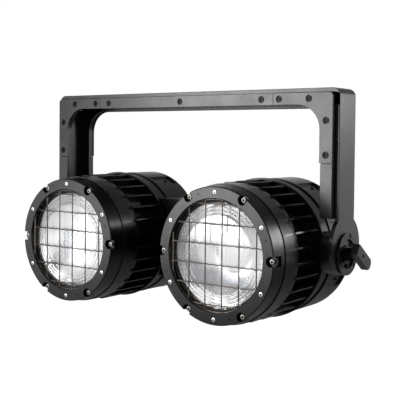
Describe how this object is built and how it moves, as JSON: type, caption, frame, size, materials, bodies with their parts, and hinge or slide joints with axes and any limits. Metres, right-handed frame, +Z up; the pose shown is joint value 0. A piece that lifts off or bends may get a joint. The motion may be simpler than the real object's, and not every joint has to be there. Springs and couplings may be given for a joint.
{
  "type": "strobe light",
  "caption": "Black stage strobe with round ribbed lamps behind wire grilles, a control box between them and a tilting head in a wide hanging yoke.",
  "frame": {"origin": "centre of the middle rigging hole, on the top face of the yoke", "axes": "+X along the yoke's beam, +Z up along the rigging hole, lamps facing -Y"},
  "size_m": [0.7176, 0.2617, 0.405],
  "materials": {
    "frame_black": "satin black powder coat on aluminium bar and plate",
    "cast_black": "satin black coat on aluminium",
    "steel": "plain steel screws and rods",
    "black_steel": "blackened steel",
    "grille_steel": "dark steel wire",
    "lens_glass": "clear toughened glass",
    "gasket_rubber": "soft black rubber",
    "bright_reflector": "bright aluminium",
    "led_white": "white LED array",
    "fan_plastic": "black moulded plastic",
    "display_plastic": "smoked clear plastic",
    "button_plastic": "grey moulded plastic",
    "socket_plastic": "black moulded plastic",
    "socket_blue": "blue moulded plastic",
    "friction_lining": "fibre lining"
  },
  "bodies": {
    "yoke": {"yoke_strap": "frame_black", "rail_front": "frame_black", "rail_rear": "frame_black", "beam_plate_front": "frame_black", "beam_plate_rear": "frame_black", "gusset_front_left": "frame_black", "arm_cover_front_left": "frame_black", "gusset_front_right": "frame_black", "arm_cover_front_right": "frame_black", "gusset_rear_left": "frame_black", "arm_cover_rear_left": "frame_black", "gusset_rear_right": "frame_black", "arm_cover_rear_right": "frame_black", "plate_screws": "steel", "pivot_boss_left": "cast_black", "pivot_boss_right": "cast_black", "boss_screws": "steel", "friction_discs": "friction_lining"},
    "head": {"bezel_left": "cast_black", "bezel_right": "cast_black", "grille_left": "grille_steel", "grille_right": "grille_steel", "lens_left": "lens_glass", "lens_right": "lens_glass", "lens_gasket_left": "gasket_rubber", "lens_gasket_right": "gasket_rubber", "lens_barrel_left": "cast_black", "lens_barrel_right": "cast_black", "reflector_left": "bright_reflector", "reflector_right": "bright_reflector", "led_module_left": "led_white", "led_module_right": "led_white", "heat_sink_left": "cast_black", "heat_sink_right": "cast_black", "rear_cap_left": "cast_black", "rear_cap_right": "cast_black", "fan_guard_left": "fan_plastic", "fan_guard_right": "fan_plastic", "tilt_hub_left": "cast_black", "tilt_hub_right": "cast_black", "bezel_screws": "steel", "captive_screws": "steel", "cap_screws": "steel", "box_housing": "cast_black", "rear_panel": "cast_black", "display_window": "display_plastic", "data_inlet": "socket_plastic", "data_outlet": "socket_plastic", "power_inlet": "socket_blue", "power_outlet": "socket_plastic"},
    "fan_left": {"fan_rotor_left": "fan_plastic"},
    "clamp_left": {"lever_left": "cast_black", "lever_stud_left": "black_steel"},
    "fan_right": {"fan_rotor_right": "fan_plastic"},
    "clamp_right": {"lever_right": "cast_black", "lever_stud_right": "black_steel"},
    "key_1": {"button_1": "button_plastic"},
    "key_2": {"button_2": "button_plastic"},
    "key_3": {"button_3": "button_plastic"},
    "key_4": {"button_4": "button_plastic"}
  },
  "joints": [
    {"name": "tilt", "type": "hinge", "parent": "yoke", "child": "head", "pos_m": [0, 0, -0.2805], "axis": [1, 0, 0], "range_deg": [-120, 120]},
    {"name": "clamp_turn_left", "type": "hinge", "parent": "head", "child": "clamp_left", "pos_m": [-0.34, 0, -0.2805], "axis": [1, 0, 0], "range_deg": [-150, 150]},
    {"name": "fan_spin_left", "type": "hinge", "parent": "head", "child": "fan_left", "pos_m": [-0.1712, 0.07, -0.2805], "axis": [0, 1, 0], "continuous": true},
    {"name": "clamp_turn_right", "type": "hinge", "parent": "head", "child": "clamp_right", "pos_m": [0.34, 0, -0.2805], "axis": [1, 0, 0], "range_deg": [-150, 150]},
    {"name": "fan_spin_right", "type": "hinge", "parent": "head", "child": "fan_right", "pos_m": [0.1712, 0.07, -0.2805], "axis": [0, 1, 0], "continuous": true},
    {"name": "key_press_1", "type": "slide", "parent": "head", "child": "key_1", "axis": [0, -1, 0], "range_m": [0, 0.0012], "stiffness_N_per_m": 600},
    {"name": "key_press_2", "type": "slide", "parent": "head", "child": "key_2", "axis": [0, -1, 0], "range_m": [0, 0.0012], "stiffness_N_per_m": 600},
    {"name": "key_press_3", "type": "slide", "parent": "head", "child": "key_3", "axis": [0, -1, 0], "range_m": [0, 0.0012], "stiffness_N_per_m": 600},
    {"name": "key_press_4", "type": "slide", "parent": "head", "child": "key_4", "axis": [0, -1, 0], "range_m": [0, 0.0012], "stiffness_N_per_m": 600}
  ]
}
